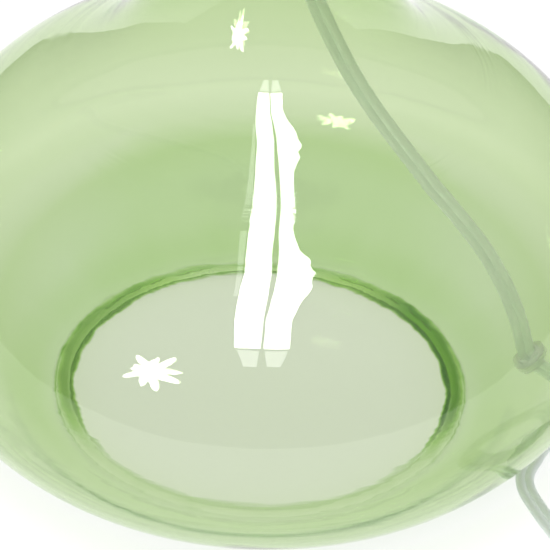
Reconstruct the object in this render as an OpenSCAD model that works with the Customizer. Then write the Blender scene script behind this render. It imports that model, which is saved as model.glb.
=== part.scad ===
// Table lamp base: a squat blown-glass vessel with neck fittings, a turn-knob socket,
// a harp with its finial, and a clear flat flex that runs down inside the glass.
// Millimetres. Z is up, the vessel's axis is the Z axis, and its foot stands on z = 0.

/* [Glass vessel] */
// Largest outer radius of the belly
belly_r = 140; // [139:0.5:141]
// Height of the largest radius above the table
belly_z = 68.2; // [67.5:0.1:69]
// Half height of the ellipse that the belly follows below its largest radius
lower_rise = 88.5; // [88:0.1:89]
// Half height of the ellipse that the belly follows above its largest radius
upper_rise = 96.3; // [95:0.1:98]
// Thickness of the blown wall
wall = 2.2; // [2:0.1:2.6]
// Thickness of the floor
floor_t = 1.2; // [1:0.1:2]
// Height of the pushed-up middle of the floor above the table
punt_rise = 2.2; // [1.5:0.1:3]
// Mean radius of the ring that the vessel stands on
foot_r = 79; // [78:0.5:80]
// Width of the flat ground on that ring
foot_flat = 3; // [2:0.5:4]
// Height of the bead of glass that lies inside that ring
bead_z = 7; // [6:0.5:8]
// Outer radius of the neck
neck_r = 40; // [39:0.5:41]
// Height of the lip above the table
lip_z = 250; // [249:0.5:251]

/* [Flex] */
// Width of the flat twin flex
flex_w = 7.1; // [6.8:0.1:7.2]
// Thickness of the flat twin flex
flex_t = 3.5; // [3.2:0.1:3.6]
// Distance of the flex's hole from the vessel's axis
exit_r = 109.2; // [108:0.2:110]
// Direction of the hole from +X towards +Y, in degrees
exit_az = 3.6; // [3:0.2:5]
// Middle radius of the coil that puts the spare flex away
coil_r = 37.9; // [37.5:0.1:38.2]

/* [Neck fittings] */
// Outer radius of the threaded nipple, a 1/8 inch lamp pipe
nipple_r = 5.14; // [5.1:0.01:5.2]
// Radius of the nipple's bore
nipple_bore_r = 3.7; // [3.65:0.01:3.8]
// Depth of the rubber stopper in the neck
stopper_depth = 10; // [8:0.5:10]
// Thickness of the spun neck cap
cap_t = 1.8; // [1.5:0.1:2]
// Height of the turned spindle between the neck cap and the harp saddle
spindle_h = 14.2; // [14:0.1:16]

/* [Socket] */
// Outer radius of the socket's shell
shell_r = 17.2; // [17:0.1:17.5]
// Inner radius of the screw shell, for an E26 bulb
screw_r = 13.3; // [13.25:0.01:13.4]
// Depth of the screw shell's wall
screw_depth = 22; // [20:1:23]
// Radius of the turn knob
knob_r = 8.5; // [7:0.5:9]
// Travel of the sprung centre contact
contact_travel = 1.5; // [1:0.1:1.5]

/* [Harp] */
// Radius of the harp's wire
wire_r = 1.6; // [1.5:0.05:1.6]
// Largest half width of the harp, at the middle of its wire
harp_half_w = 57; // [50:1:65]
// Height of the harp above its saddle
harp_h = 202; // [195:1:215]
// Radius of the threaded stud, 1/4-27
stud_r = 3.17; // [3.1:0.01:3.2]

/* [Hidden] */
$fn = 64;
eps = 0.01;

// Glass: the ends of the two ellipses, and the outlines' blends between them
low_angle = 44.4;          // where the lower ellipse hands over to the heel
high_angle = 49.8;         // where the upper ellipse hands over to the shoulder
shoulder_pull = 42;        // how far the shoulder's blend follows the belly
neck_pull = 47;            // how far it follows the neck
neck_start_z = 222;        // where the neck becomes straight
neck_wall = 3;
heel_pull = 7;             // how far the outer heel's blend follows the belly
bead_half_w = 4.6;         // half width of the bead inside the heel
bead_foot_z = 1.9;         // height at which the bead meets the floor
hole_r = 5.2;              // hole in the glass for the grommet

// Flex: the hole's centre on the outer surface, and its direction out of the glass
exit_z = belly_z - lower_rise * sqrt(1 - pow(exit_r / belly_r, 2));
exit_dip = atan2((belly_z - exit_z) / pow(lower_rise, 2), exit_r / pow(belly_r, 2));
exit_at = [exit_r * cos(exit_az), exit_r * sin(exit_az), exit_z];
exit_dir = [cos(exit_dip) * cos(exit_az), cos(exit_dip) * sin(exit_az), -sin(exit_dip)];
flex_joint = exit_at - exit_dir * wall / 2;   // the inner and outer stretches meet in the wall

// Heights up the neck
washer_t = 1.2;
nut_t = 3.5;
stopper_bottom = lip_z - stopper_depth;
flange_t = 2;
cap_z = lip_z + flange_t;
spindle_z = cap_z + cap_t;
saddle_z = spindle_z + spindle_h;
strap_t = 1.6;
hub_z = saddle_z + strap_t;
nipple_bottom = stopper_bottom - washer_t - nut_t - 2.3;
hub_h = 7;
bowl_z = hub_z + hub_h;
nipple_top = bowl_z + 1.9;
bore_gap = 0.11;           // clearance round the nipple

// Heights inside the socket
body_z = bowl_z + 18.4;
body_h = 20;
body_r = 14.2;
shaft_z = body_z + 7;
shaft_r = 2;
cavity_r = 4.6;
rim_h = 4.5;
screw_z = body_z + body_h + rim_h;
sheet_t = 0.5;
stem_z = body_z + 15;       // lower end of the centre contact's stem
terminal_x = 11.8;
terminal_z = body_z + 6;
shell_top = screw_z + screw_depth + 2.5;

// Harp
leg_x = 28.25;             // middle of each leg's wire
tang_x = leg_x + wire_r + 0.3;
tang_top = saddle_z + 28;
shoulder_z = saddle_z + 15.4;
ferrule_x = 30;
ferrule_r = 3.75;
ferrule_t = 0.8;
ferrule_h = 13;
harp_top = saddle_z + harp_h;
stud_base_h = 4;

// Coil: where it lies, and its section
coil_at = [165, -115];
coil_half = 7.4;
coil_low = 0.6;
coil_top = 15.6;

// The flex's middle line from the socket's cap down to the hole
inner_route = [[0, 0, 283], [0, 0, 268], [0, 0, 250], [0, 0, 233], [1.2, 0, 221], [4.6, 0.3, 208.5],
    [9.4, 0.6, 194.5], [15.4, 1, 179.5], [22.9, 1.5, 162], [31, 2, 145.5], [40.2, 2.7, 130], [50.3, 3.4, 115],
    [61.8, 4.2, 98.5], [73.6, 5, 83], [84.7, 5.6, 67.5], [93.2, 6.1, 52], [99, 6.5, 38.5], [103.1, 6.8, 26.5],
    exit_at - 5 * exit_dir, flex_joint];
// From the hole round a bend on the table to the coil
run_route = [flex_joint, exit_at + 2 * exit_dir, [113.2, 7, 8.6], [116.7, 6.4, 6.4], [120.4, 5, 4.7],
    [123.8, 2.6, 3.9], [126.8, -0.9, 3.7], [129.1, -6, 3.6], [129.6, -12.2, 3.6], [127.9, -18.4, 3.6],
    [124.3, -23.6, 3.6], [119.4, -27, 3.4], [114.4, -30, 2.8], [110, -35, 2.2], [106.7, -41.5, 1.9],
    [104, -47.5, 1.8], [102.8, -53.5, 1.8], [103.6, -60, 1.8], [106, -66.8, 1.8], [109.2, -74.5, 1.9],
    [113, -83, 2.4], [117, -92.5, 3.3], [120.3, -103, 3.8], [121.6, -115, 4.3]];
// From the coil's top to the plug
tail_route = [[208.4, -115, 11.9], [209, -103, 11.4], [210.5, -91, 9], [212.5, -79, 6.6], [213.5, -68, 6.2],
    [213.5, -56, 6.5]];
plug_at = tail_route[len(tail_route) - 1];

// --- shared shapes -------------------------------------------------------------------------

function unit(v) = v / norm(v);

function bezier(a, b, c, d, steps) = [for (i = [0:steps]) let (t = i / steps, s = 1 - t)
    s * s * s * a + 3 * s * s * t * b + 3 * s * t * t * c + t * t * t * d];

// Part of an ellipse round (0, z) from one angle to another
function oval(rx, rz, z, from, to, steps) = [for (i = [0:steps]) let (a = from + (to - from) * i / steps)
    [rx * cos(a), z + rz * sin(a)]];

// The direction in which an ellipse runs at an angle, towards larger angles
function oval_dir(rx, rz, a) = unit([-rx * sin(a), rz * cos(a)]);

function reversed(list) = [for (i = [len(list) - 1:-1:0]) list[i]];

module ring(outer, inner, low, high) {
    translate([0, 0, low]) difference() {
        cylinder(r = outer, h = high - low);
        translate([0, 0, -1]) cylinder(r = inner, h = high - low + 2);
    }
}

// Turns a shape that points up so that it leaves the glass through the flex's hole
module at_exit() {
    translate(exit_at) rotate([0, 90 + exit_dip, exit_az]) children();
}

// Direction of a path at one of its points
function heading(path, i) = unit(path[min(i + 1, len(path) - 1)] - path[max(i - 1, 0)]);

// Sweeps an eight-sided section along a path. flats[i] is the way the broad side faces there.
module sweep(path, half_w, half_t, flats) {
    sides = 8;
    rings = [for (i = [0:len(path) - 1]) let (t = heading(path, i), w = unit(cross(t, flats[i])), n = cross(w, t))
        for (k = [0:sides - 1]) let (a = 360 * (k + 0.5) / sides, grow = 1 / cos(180 / sides))
            path[i] + w * half_w * cos(a) * grow + n * half_t * sin(a) * grow];
    last = (len(path) - 1) * sides;
    faces = concat(
        [[for (k = [0:sides - 1]) k]],
        [[for (k = [sides - 1:-1:0]) last + k]],
        [for (i = [0:len(path) - 2]) for (k = [0:sides - 1]) for (half = [0, 1])
            let (a = i * sides + k, b = i * sides + (k + 1) % sides)
            half == 0 ? [a, a + sides, b + sides] : [a, b + sides, b]]);
    polyhedron(points = rings, faces = faces);
}

// The broad side turns steadily from one direction to another along a path
function turning(count, from, to) = [for (i = [0:count - 1]) unit(from + (to - from) * i / (count - 1))];

// --- glass and its grommet -----------------------------------------------------------------

module glass_outline() {
    heel_end = [belly_r * cos(low_angle), belly_z - lower_rise * sin(low_angle)];
    shoulder = [belly_r * cos(high_angle), belly_z + upper_rise * sin(high_angle)];
    in_r = belly_r - wall;
    in_low = lower_rise - wall;
    in_high = upper_rise - wall;
    in_heel = [in_r * cos(-40.5), belly_z + in_low * sin(-40.5)];
    in_shoulder = [in_r * cos(high_angle), belly_z + in_high * sin(high_angle)];
    floor_z = punt_rise + floor_t;
    crest = [foot_r, bead_z];
    bead_in = [foot_r - bead_half_w, bead_foot_z];
    bead_out = [foot_r + bead_half_w, bead_foot_z + 1.2];
    lean = [bead_half_w * 0.55, 0];
    outer = concat(
        bezier([0, punt_rise], [40, punt_rise], [70, 1], [foot_r - foot_flat / 2, 0], 12),
        bezier([foot_r + foot_flat / 2, 0], [foot_r + 7, 0],
            heel_end - heel_pull * oval_dir(belly_r, lower_rise, -low_angle), heel_end, 8),
        oval(belly_r, lower_rise, belly_z, 3 - low_angle, 0, 16),
        oval(belly_r, upper_rise, belly_z, 3, high_angle, 16),
        bezier(shoulder, shoulder + shoulder_pull * oval_dir(belly_r, upper_rise, high_angle),
            [neck_r, neck_start_z - neck_pull], [neck_r, neck_start_z], 16),
        [[neck_r, lip_z - 1], [neck_r - 1, lip_z]]);
    inner = concat(
        bezier([0, floor_z], [40, floor_z], bead_in - [10, 0], bead_in, 8),
        bezier(bead_in + [0.3, 0.02], bead_in + lean, crest - lean, crest, 7),
        bezier(crest + [0.3, 0], crest + lean, bead_out - lean, bead_out, 7),
        bezier(bead_out + [0.3, 0.02], bead_out + [3.3, 0], in_heel - 8 * oval_dir(in_r, in_low, -40.5), in_heel, 8),
        oval(in_r, in_low, belly_z, -37.5, 0, 14),
        oval(in_r, in_high, belly_z, 3, high_angle, 16),
        bezier(in_shoulder, in_shoulder + shoulder_pull * oval_dir(in_r, in_high, high_angle),
            [neck_r - neck_wall, neck_start_z - neck_pull], [neck_r - neck_wall, neck_start_z], 16),
        [[neck_r - neck_wall, lip_z - 1], [neck_r - neck_wall + 1, lip_z]]);
    polygon(concat(outer, reversed(inner)));
}

module glass_body() {
    color([0.72, 0.88, 0.60, 0.45]) difference() {
        rotate_extrude($fn = 120) glass_outline();
        at_exit() cylinder(r = hole_r, h = 30, center = true);
    }
}

// A spool of clear soft plastic that lines the hole
module flex_grommet() {
    bore = flex_w / 2 + 0.2;
    neck = hole_r - 0.1;
    lip = 7.2;
    inside = -wall - 0.55;
    color([0.9, 0.93, 0.9, 0.7]) at_exit() rotate_extrude() polygon([
        [bore, inside - 1.3], [lip - 0.5, inside - 1.3], [lip, inside - 0.8], [lip, inside], [neck, inside],
        [neck, 0.15], [lip, 0.15], [lip, 0.9], [lip - 0.6, 1.5], [bore + 0.5, 1.5], [bore, 1]]);
}

// --- neck fittings -------------------------------------------------------------------------

module neck_stopper() {
    plug_r = neck_r - neck_wall - 0.2;
    color([0.2, 0.2, 0.2]) rotate_extrude() polygon([
        [nipple_r + bore_gap, stopper_bottom], [plug_r - 1.2, stopper_bottom], [plug_r - 0.2, stopper_bottom + 2],
        [plug_r, lip_z], [neck_r - 1.4, lip_z], [neck_r - 1.4, cap_z], [nipple_r + bore_gap, cap_z]]);
}

module neck_cap() {
    skirt_in = neck_r + 0.6;
    skirt_out = skirt_in + 1.2;
    color([0.78, 0.77, 0.74]) rotate_extrude() polygon([
        [nipple_r + bore_gap, cap_z], [neck_r - 1.2, cap_z], [skirt_in, lip_z + 0.4], [skirt_in, lip_z - 12],
        [skirt_out, lip_z - 12], [skirt_out, lip_z + 0.8], [skirt_out - 0.7, cap_z + 0.6],
        [skirt_out - 2.2, spindle_z], [nipple_r + bore_gap, spindle_z]]);
}

module threaded_nipple() {
    color([0.7, 0.68, 0.6]) ring(nipple_r, nipple_bore_r, nipple_bottom, nipple_top);
}

module stopper_washer() {
    color([0.75, 0.75, 0.75]) ring(16, nipple_r + bore_gap, stopper_bottom - washer_t, stopper_bottom);
}

module lock_nut() {
    across_flats = 15.9;
    top = stopper_bottom - washer_t;
    color([0.75, 0.72, 0.6]) difference() {
        translate([0, 0, top - nut_t]) cylinder(r = across_flats / 2 / cos(30), h = nut_t, $fn = 6);
        translate([0, 0, top - nut_t - 1]) cylinder(r = nipple_r + 0.03, h = nut_t + 2);
    }
}

module spindle() {
    color([0.78, 0.77, 0.74]) rotate_extrude() polygon([
        [nipple_r + bore_gap, spindle_z], [22, spindle_z], [22, spindle_z + 1.6], [17, spindle_z + 2.8],
        [10.5, spindle_z + 4.6], [8.6, spindle_z + 7.4], [9.4, spindle_z + 10.4], [12, spindle_z + 12.4],
        [12, saddle_z], [nipple_r + bore_gap, saddle_z]]);
}

module harp_saddle() {
    half_strap = 6.35;
    half_tang = 2.4;
    arm = [[20, saddle_z], [tang_x + strap_t, saddle_z + 12], [tang_x + strap_t, shoulder_z],
        [tang_x, shoulder_z], [tang_x, saddle_z + 12.6], [19.2, hub_z]];
    color([0.78, 0.77, 0.74]) difference() {
        union() {
            rotate([90, 0, 0]) linear_extrude(2 * half_strap, center = true)
                polygon(concat(arm, reversed([for (p = arm) [-p[0], p[1]]])));
            for (side = [-1, 1])
                translate([side * (tang_x + strap_t / 2), 0, (shoulder_z + tang_top) / 2 - 0.5])
                    cube([strap_t, 2 * half_tang, tang_top - shoulder_z + 1], center = true);
        }
        translate([0, 0, saddle_z - 1]) cylinder(r = nipple_r + bore_gap, h = strap_t + 2);
    }
}

// --- socket --------------------------------------------------------------------------------

module socket_cap() {
    color([0.78, 0.77, 0.74]) difference() {
        rotate_extrude() polygon([
            [nipple_r + 0.03, hub_z], [7.6, hub_z], [7.6, bowl_z], [9, bowl_z], [13, bowl_z + 1.6],
            [16.2, bowl_z + 5.6], [shell_r + 0.1, bowl_z + 11], [shell_r + 0.1, bowl_z + 22],
            [shell_r - 0.8, bowl_z + 22], [shell_r - 0.8, bowl_z + 11.2], [15.3, bowl_z + 6.1],
            [12.4, bowl_z + 2.6], [8.9, bowl_z + 1.6], [nipple_r + 0.03, bowl_z + 1.6]]);
        translate([0, 0, hub_z + hub_h / 2]) rotate([-90, 0, 0]) cylinder(r = 1.5, h = 10);
    }
}

module cap_set_screw() {
    slot = 0.6;
    color([0.6, 0.6, 0.6]) translate([0, 0, hub_z + hub_h / 2]) difference() {
        rotate([-90, 0, 0]) translate([0, 0, nipple_r + 0.05]) cylinder(r = 1.49, h = 4);
        translate([0, nipple_r + 4.05, 0]) cube([4, 1.6, slot], center = true);
    }
}

module socket_shell() {
    low = bowl_z + 16;
    step = body_z + 1.2;
    color([0.78, 0.77, 0.74]) difference() {
        rotate_extrude() polygon([
            [shell_r - 1.6, low], [shell_r - 0.9, low], [shell_r - 0.9, step + 2.8], [shell_r, step + 4.6],
            [shell_r, shell_top - 4], [shell_r + 0.8, shell_top - 3], [shell_r + 0.8, shell_top - 1],
            [shell_r, shell_top], [shell_r - 1.6, shell_top]]);
        translate([0, 0, shaft_z]) rotate([90, 0, 0]) cylinder(r = 3.4, h = 30);
    }
}

module insulating_sleeve() {
    color([0.5, 0.42, 0.3]) difference() {
        ring(15.3, 14.6, body_z - 1, shell_top - 1);
        translate([0, 0, shaft_z]) rotate([90, 0, 0]) cylinder(r = 3, h = 30);
    }
}

module socket_body() {
    stem_r = 1.56;
    color([0.15, 0.12, 0.1]) difference() {
        union() {
            translate([0, 0, body_z]) cylinder(r = body_r, h = body_h);
            ring(body_r, 12.2, body_z + body_h - eps, body_z + body_h + rim_h);
        }
        // flats under the terminal screws
        for (side = [-1, 1])
            translate([side * (terminal_x + 5), 0, body_z + 5]) cube([10, 40, 11], center = true);
        // cavity for the switch's cam, open below
        translate([0, 0, shaft_z]) rotate([90, 0, 0]) cylinder(r = cavity_r, h = 10, center = true);
        translate([-cavity_r, -5, body_z - 1]) cube([2 * cavity_r, 10, shaft_z - body_z + 1]);
        // bearing of the switch's shaft
        translate([0, 0, shaft_z]) rotate([90, 0, 0]) cylinder(r = shaft_r + 0.06, h = 20);
        // guide of the centre contact
        translate([0, 0, stem_z - contact_travel - 0.3]) cylinder(r = stem_r, h = 10);
        // threads of the terminal screws
        for (side = [-1, 1])
            translate([side * 6, 0, terminal_z]) rotate([0, side * 90, 0]) cylinder(r = 1.6, h = 10);
    }
}

module screw_shell() {
    color([0.85, 0.7, 0.35]) union() {
        ring(screw_r + sheet_t, screw_r, screw_z, screw_z + screw_depth);
        ring(body_r, 12.4, screw_z, screw_z + sheet_t);
    }
}

module centre_contact() {
    top = screw_z - 0.3;
    color([0.85, 0.7, 0.35]) union() {
        translate([0, 0, top - 1.4]) cylinder(r = 4, h = 1.4);
        translate([0, 0, stem_z]) cylinder(r = 1.5, h = top - 1 - stem_z);
    }
}

module terminal_screws() {
    color([0.8, 0.72, 0.45]) for (side = [-1, 1])
        translate([0, 0, terminal_z]) rotate([0, side * 90, 0]) difference() {
            union() {
                translate([0, 0, 6.2]) cylinder(r = 1.58, h = terminal_x - 6.2 + eps);
                translate([0, 0, terminal_x]) cylinder(r = 3.2, h = 1.9);
            }
            translate([0, 0, terminal_x + 1.9]) cube([0.8, 8, 1.6], center = true);
        }
}

// The shaft carries a four-lobed cam that makes and breaks the contact at every quarter turn
module switch_shaft() {
    color([0.3, 0.28, 0.25]) translate([0, 0, shaft_z]) rotate([90, 0, 0]) {
        translate([0, 0, -4.6]) cylinder(r = 3, h = 9.2);
        for (turn = [0, 90])
            rotate(turn) cube([8.4, 1.8, 9.2], center = true);
        cylinder(r = shaft_r, h = 33);
    }
}

module switch_knob() {
    from = 26;
    depth = 11;
    color([0.12, 0.1, 0.09]) translate([0, -from, shaft_z]) rotate([90, 0, 0]) rotate_extrude() polygon([
        [shaft_r, 0], [knob_r - 1.8, 0], [knob_r - 0.4, 1.4], [knob_r, depth - 2], [knob_r - 1.4, depth],
        [0, depth], [0, 7], [shaft_r, 7]]);
}

// The flex's two wires part inside the cap and end under the terminal screws
module lead_wires() {
    color([0.75, 0.45, 0.25]) for (side = [-1, 1]) {
        path = [for (p = [[1.75, 283], [3.2, 288], [6.5, 292], [10, 293.2], [12.9, 294.4], [13.05, 297.4]])
            [side * p[0], 0, p[1]]];
        sweep(path, 1, 1, [for (p = path) [0, 1, 0]]);
    }
}

// --- harp ----------------------------------------------------------------------------------

// Right half of the wire, from its foot to the middle of its top
harp_half = concat(
    [[leg_x, saddle_z + 16]],
    bezier([leg_x, saddle_z + 43], [leg_x, saddle_z + 63], [harp_half_w, saddle_z + 68],
        [harp_half_w, saddle_z + 105], 12),
    bezier([harp_half_w, saddle_z + 110], [harp_half_w, saddle_z + 155], [44, harp_top], [14, harp_top], 14));

module harp_wire() {
    right = [for (p = harp_half) [p[0], 0, p[1]]];
    left = reversed([for (p = harp_half) [-p[0], 0, p[1]]]);
    path = concat(right, left);
    color([0.78, 0.77, 0.74]) sweep(path, wire_r, wire_r, [for (p = path) [0, 1, 0]]);
}

module harp_stud() {
    top = harp_top + stud_base_h;
    color([0.78, 0.77, 0.74]) union() {
        difference() {
            translate([0, 0, harp_top + 1]) cube([16, 8, 6], center = true);
            translate([0, 0, harp_top]) rotate([0, 90, 0]) cylinder(r = wire_r * 1.09, h = 20, center = true);
        }
        translate([0, 0, top - eps]) cylinder(r = stud_r, h = 12);
    }
}

module ferrule(side) {
    color([0.78, 0.77, 0.74]) translate([side * ferrule_x, 0, 0])
        ring(ferrule_r + ferrule_t, ferrule_r, shoulder_z + 0.3, shoulder_z + 0.3 + ferrule_h);
}

module ferrule_left() { ferrule(-1); }

module ferrule_right() { ferrule(1); }

module finial() {
    low = harp_top + stud_base_h + 0.3;
    color([0.78, 0.77, 0.74]) rotate_extrude() polygon(concat(
        [[0, low + 13], [stud_r + 0.05, low + 13], [stud_r + 0.05, low], [6.6, low], [7, low + 1],
            [6, low + 3], [4.8, low + 6], [4.8, low + 8], [6.2, low + 9.5]],
        [for (a = [-45:9:81]) [8.5 * cos(a), low + 16 + 8.5 * sin(a)]],
        [[0, low + 24.5]]));
}

// --- flex, coil and plug -------------------------------------------------------------------

module flex_inside() {
    color([0.85, 0.92, 0.88, 0.8])
        sweep(inner_route, flex_w / 2, flex_t / 2, [for (p = inner_route) [0, 1, 0]]);
}

// From 0 where the flex stands on edge to 1 where it lies flat: flat from point 14 to point 18, and
// on edge up to point 9 and at the coil
function lying(i) = let (t = i < 16 ? (i - 9) / 5 : (23 - i) / 5, c = max(0, min(1, t))) c * c * (3 - 2 * c);

module flex_run() {
    flats = [for (i = [0:len(run_route) - 1]) let (h = heading(run_route, i))
        (1 - lying(i)) * unit([-h[1], h[0], 0]) - lying(i) * [0, 0, 1]];
    color([0.85, 0.92, 0.88, 0.8]) sweep(run_route, flex_w / 2, flex_t / 2, flats);
}

module flex_coil() {
    color([0.85, 0.92, 0.88, 0.8]) translate([coil_at[0], coil_at[1], 0])
        ring(coil_r + coil_half, coil_r - coil_half, coil_low, coil_top);
}

module flex_tail() {
    color([0.85, 0.92, 0.88, 0.8]) sweep(tail_route, flex_w / 2, flex_t / 2,
        turning(len(tail_route), [-1, 0, 0], [0, 0, 1]));
}

// A soft strap round the coil
module coil_tie() {
    strap = 0.6;
    half_angle = 8;
    color([0.95, 0.95, 0.93]) translate([coil_at[0], coil_at[1], 0]) rotate(225 - half_angle)
        rotate_extrude(angle = 2 * half_angle) difference() {
            translate([coil_r - coil_half - strap, 0]) square([2 * (coil_half + strap), coil_top + strap]);
            translate([coil_r - coil_half, coil_low]) square([2 * coil_half, coil_top - coil_low]);
        }
}

// Moulded two-pin plug with a tapering tail
module plug_body() {
    tail = 16;
    grip = 26;
    color([0.88, 0.93, 0.9, 0.8]) translate(plug_at) difference() {
        union() {
            hull() {
                translate([0, 0.5, 0]) cube([8.4, 1, 5.4], center = true);
                translate([0, tail, 0]) cube([12, 1, 9], center = true);
            }
            hull() for (x = [-1, 1], z = [-1, 1], y = [0, 1])
                translate([x * (y == 0 ? 6.5 : 9.5), tail + 2 + y * (grip - 4), z * 4.3]) sphere(r = 2.2, $fn = 16);
        }
        translate([-20, tail + grip - 0.5, -20]) cube([40, 10, 40]);
    }
}

module plug_blades() {
    face = 16 + 26 - 0.5;
    color([0.85, 0.75, 0.45]) translate(plug_at) for (side = [-1, 1])
        translate([side * 6.35, face + 8.5, 0]) difference() {
            cube([1.5, 17, side < 0 ? 7.9 : 6.35], center = true);
            translate([0, 4.5, 0]) rotate([0, 90, 0]) cylinder(r = 1.5, h = 4, center = true);
        }
}

glass_body();
flex_grommet();
neck_stopper();
neck_cap();
threaded_nipple();
stopper_washer();
lock_nut();
spindle();
harp_saddle();
socket_cap();
cap_set_screw();
socket_shell();
insulating_sleeve();
socket_body();
screw_shell();
centre_contact();
terminal_screws();
switch_shaft();
switch_knob();
lead_wires();
harp_wire();
harp_stud();
ferrule_left();
ferrule_right();
finial();
flex_inside();
flex_run();
flex_coil();
flex_tail();
coil_tie();
plug_body();
plug_blades();
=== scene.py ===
import math

import bpy
import bmesh
import numpy as np
from mathutils import Matrix, Quaternion, Vector


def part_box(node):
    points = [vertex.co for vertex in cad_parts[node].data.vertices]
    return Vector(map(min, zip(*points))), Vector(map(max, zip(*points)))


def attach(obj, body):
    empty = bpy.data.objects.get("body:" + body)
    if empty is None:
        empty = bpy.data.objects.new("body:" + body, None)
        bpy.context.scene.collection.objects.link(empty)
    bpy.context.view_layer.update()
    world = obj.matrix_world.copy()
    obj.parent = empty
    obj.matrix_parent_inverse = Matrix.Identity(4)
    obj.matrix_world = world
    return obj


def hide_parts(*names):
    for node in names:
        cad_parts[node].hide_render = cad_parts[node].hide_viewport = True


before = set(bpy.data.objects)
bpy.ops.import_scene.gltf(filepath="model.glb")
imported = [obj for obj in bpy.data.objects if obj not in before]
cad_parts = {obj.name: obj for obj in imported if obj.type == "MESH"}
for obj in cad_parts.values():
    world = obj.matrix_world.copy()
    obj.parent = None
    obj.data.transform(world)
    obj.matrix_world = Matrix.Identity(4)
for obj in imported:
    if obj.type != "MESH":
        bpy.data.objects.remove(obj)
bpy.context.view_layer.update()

scene = bpy.context.scene
MM = 0.001
TAU = 2 * math.pi


def low(node):
    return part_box(node)[0]


def high(node):
    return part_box(node)[1]


# --- camera ----------------------------------------------------------------------------------

CAMERA_AIM = Vector((0.0045, 0, 0.0558))
CAMERA_DISTANCE = 1.0
CAMERA_ELEVATION = math.radians(36.56)
CAMERA_ROLL = math.radians(2.05)    # the camera leans counter-clockwise, so the lamp leans clockwise
CAMERA_LENS = 169.2                 # millimetres, on a 36 mm sensor


def make_camera():
    data = bpy.data.cameras.new("camera")
    data.lens = CAMERA_LENS
    data.sensor_width = 36
    data.clip_start = 0.01
    camera = bpy.data.objects.new("camera", data)
    scene.collection.objects.link(camera)
    back = Vector((0, -math.cos(CAMERA_ELEVATION), math.sin(CAMERA_ELEVATION)))
    camera.rotation_mode = "QUATERNION"
    camera.rotation_quaternion = back.to_track_quat("Z", "Y") @ Quaternion((0, 0, 1), CAMERA_ROLL)
    camera.location = CAMERA_AIM + back * CAMERA_DISTANCE
    scene.camera = camera


make_camera()


# --- mesh helpers ----------------------------------------------------------------------------

def skin(name, grid, along=None, rows_closed=False, caps=False, crease=38, weld=1e-7):
    """A mesh over a grid of points. Each row closes into a loop, and its U and V run round and along."""
    rows, columns = grid.shape[:2]
    along = np.arange(rows + 1) / rows if along is None else along
    faces, uvs = [], []
    for i in range(rows if rows_closed else rows - 1):
        j = (i + 1) % rows
        for k in range(columns):
            m = (k + 1) % columns
            faces.append((i * columns + k, i * columns + m, j * columns + m, j * columns + k))
            a, b = k / columns, (k + 1) / columns
            uvs += [(a, along[i]), (b, along[i]), (b, along[i + 1]), (a, along[i + 1])]
    if caps:
        for i, order in ((0, 1), (rows - 1, -1)):
            faces.append([i * columns + k for k in range(columns)][::-order])
            uvs += [(k / columns, along[i]) for k in range(columns)]
    mesh = bpy.data.meshes.new(name)
    mesh.from_pydata(grid.reshape(-1, 3).tolist(), [], faces)
    layer = mesh.uv_layers.new(name="UVMap")
    layer.data.foreach_set("uv", np.array(uvs, np.float32).ravel())
    work = bmesh.new()
    work.from_mesh(mesh)
    bmesh.ops.remove_doubles(work, verts=work.verts, dist=weld)
    bmesh.ops.recalc_face_normals(work, faces=work.faces)
    work.to_mesh(mesh)
    work.free()
    mesh.shade_smooth()
    mesh.set_sharp_from_angle(angle=math.radians(crease))
    piece = bpy.data.objects.new(name, mesh)
    scene.collection.objects.link(piece)
    return piece


def rounded(points, radius, steps=3):
    """A closed outline with its corners rounded. Points on the axis stay as they are."""
    points = [Vector(p) for p in points]
    out = []
    for i, p in enumerate(points):
        before, after = points[i - 1] - p, points[(i + 1) % len(points)] - p
        if p.x < 1e-6:
            out.append(p)
            continue
        reach = min(radius, before.length * 0.45, after.length * 0.45)
        start, end = p + before.normalized() * reach, p + after.normalized() * reach
        for k in range(steps + 1):
            t = k / steps
            out.append(start * (1 - t) ** 2 + p * 2 * t * (1 - t) + end * t * t)
    return [tuple(p) for p in out]


def lathe(name, outline, steps=96, shape=None, lift=None, **options):
    """Turns a closed outline of (radius, height) round the Z axis. shape may change each point's radius,
    and lift its height."""
    angle = np.arange(steps)[:, None] * TAU / steps
    radius = np.array([p[0] for p in outline])[None, :] + 0 * angle
    height = np.array([p[1] for p in outline])[None, :] + 0 * angle
    wide = shape(radius, height, angle) if shape else radius
    tall = lift(radius, height, angle) if lift else height
    grid = np.stack([wide * np.cos(angle), wide * np.sin(angle), tall], axis=-1)
    return skin(name, grid, rows_closed=True, **options)


def bezier(a, b, c, d, steps):
    a, b, c, d = (np.array(p, float) for p in (a, b, c, d))
    return [tuple(a * (1 - t) ** 3 + 3 * b * t * (1 - t) ** 2 + 3 * c * t * t * (1 - t) + d * t ** 3)
            for t in np.linspace(0, 1, steps + 1)]


def smooth_line(points, spacing):
    """Rows of numbers on a smooth curve through the given ones. The first three are the place."""
    p = np.array(points, float)
    p = np.vstack([2 * p[0] - p[1], p, 2 * p[-1] - p[-2]])
    out = []
    for a, b, c, d in zip(p, p[1:], p[2:], p[3:]):
        steps = max(2, math.ceil(np.linalg.norm((c - b)[:3]) / spacing))
        for t in np.arange(steps) / steps:
            out.append(b + 0.5 * t * (c - a + t * (2 * a - 5 * b + 4 * c - d + t * (3 * b - a - 3 * c + d))))
    out.append(p[-2])
    return np.array(out)


def unit(rows):
    return rows / np.linalg.norm(rows, axis=-1, keepdims=True)


def directions(line, flats):
    """At each point of a line, the way its broad side runs and the way that side faces."""
    ahead = unit(np.gradient(line, axis=0))
    side = unit(np.cross(ahead, flats))
    return side, np.cross(side, ahead)


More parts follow.
